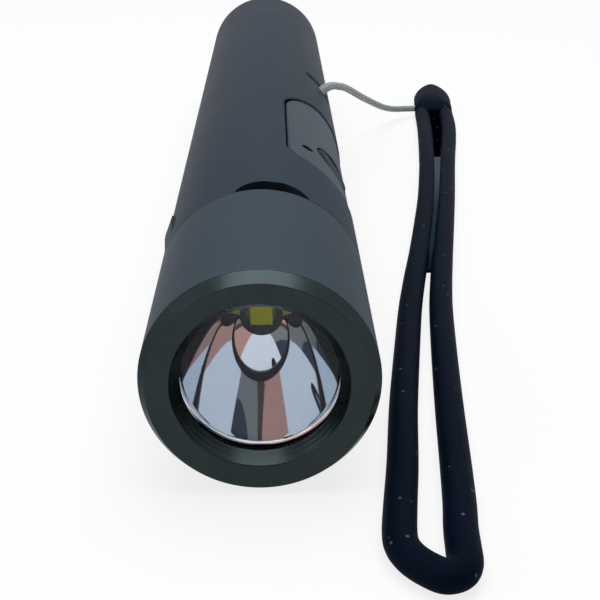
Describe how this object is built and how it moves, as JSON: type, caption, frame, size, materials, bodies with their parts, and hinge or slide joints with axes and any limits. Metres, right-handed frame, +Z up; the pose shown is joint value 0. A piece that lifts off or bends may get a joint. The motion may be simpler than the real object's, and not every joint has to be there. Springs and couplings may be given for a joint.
{
  "type": "multifunction flashlight",
  "caption": "Slim tube flashlight with a sliding head over a hidden charging port, a side button pad, a screw-on tail cap and a corded silicone wrist strap.",
  "frame": {"origin": "on the surface the torch lies on, below the middle of its length", "axes": "+Z up, +Y from the lens to the tail along the tube, +X towards the button pad and the strap"},
  "size_m": [0.0563, 0.1842, 0.0239],
  "materials": {
    "anodised_head": "satin anodised, dark blue-grey",
    "anodised_bezel": "satin anodised, dark olive grey",
    "anodised_body": "satin anodised, dark blue-grey",
    "black_anodised": "satin black anodised",
    "seal_rubber": "matte",
    "lens_glass": "clear polished",
    "mirror_coat": "smooth vacuum-metallised",
    "phosphor": "yellow phosphor",
    "white_ceramic": "matte",
    "grey_plastic": "matte",
    "white_board": "white solder mask",
    "green_board": "green solder mask",
    "red_wire": "satin",
    "brass": "satin",
    "steel": "satin",
    "plated_magnet": "nickel plated",
    "cell_wrap": "shrink wrap over a can",
    "black_plastic": "moulded, matte",
    "pad_plastic": "fine textured",
    "button_rubber": "moulded, matte",
    "smoked_window": "smoked, glossy",
    "tether_cord": "braided nylon",
    "strap_silicone": "moulded silicone, dusty"
  },
  "bodies": {
    "torch": {"body_tube": "anodised_body", "neck_tube": "black_anodised", "stop_ring": "steel", "led_phosphor": "phosphor", "led_package": "white_ceramic", "led_centring_ring": "grey_plastic", "led_board": "white_board", "heat_sink": "brass", "led_wire_positive": "red_wire", "led_wire_negative": "black_plastic", "charging_socket": "steel", "socket_tongue": "black_plastic", "driver_board": "green_board", "button_pad": "pad_plastic", "lanyard_anchor": "black_plastic", "tact_switch": "steel", "main_board": "green_board", "board_carrier": "black_plastic", "board_screw_front": "steel", "board_screw_rear": "steel", "status_light": "smoked_window", "cell_bulkhead": "black_plastic", "front_contact": "brass", "cell_terminal": "steel", "battery_cell": "cell_wrap", "tether": "tether_cord", "strap_tab": "strap_silicone", "strap_loop": "strap_silicone"},
    "head": {"head_sleeve": "anodised_head", "bezel_ring": "anodised_bezel", "lens_gasket": "seal_rubber", "lens": "lens_glass", "reflector": "mirror_coat", "slide_seal": "seal_rubber"},
    "button": {"power_button": "button_rubber", "switch_stem": "black_plastic"},
    "tail": {"tail_cap": "anodised_body", "tail_seal": "seal_rubber", "tail_spring": "brass", "tail_contact": "green_board", "tail_magnet": "plated_magnet"}
  },
  "joints": [
    {"name": "head_slide", "type": "slide", "parent": "torch", "child": "head", "axis": [0, -1, 0], "range_m": [0, 0.008]},
    {"name": "button_press", "type": "slide", "parent": "torch", "child": "button", "axis": [-0.8387, 0, -0.5446], "range_m": [0, 0.0006], "stiffness_N_per_m": 1500, "springref_m": -0.0004},
    {"name": "tail_cap_off", "type": "slide", "parent": "torch", "child": "tail", "axis": [0, 1, 0], "range_m": [0, 0.03]}
  ]
}
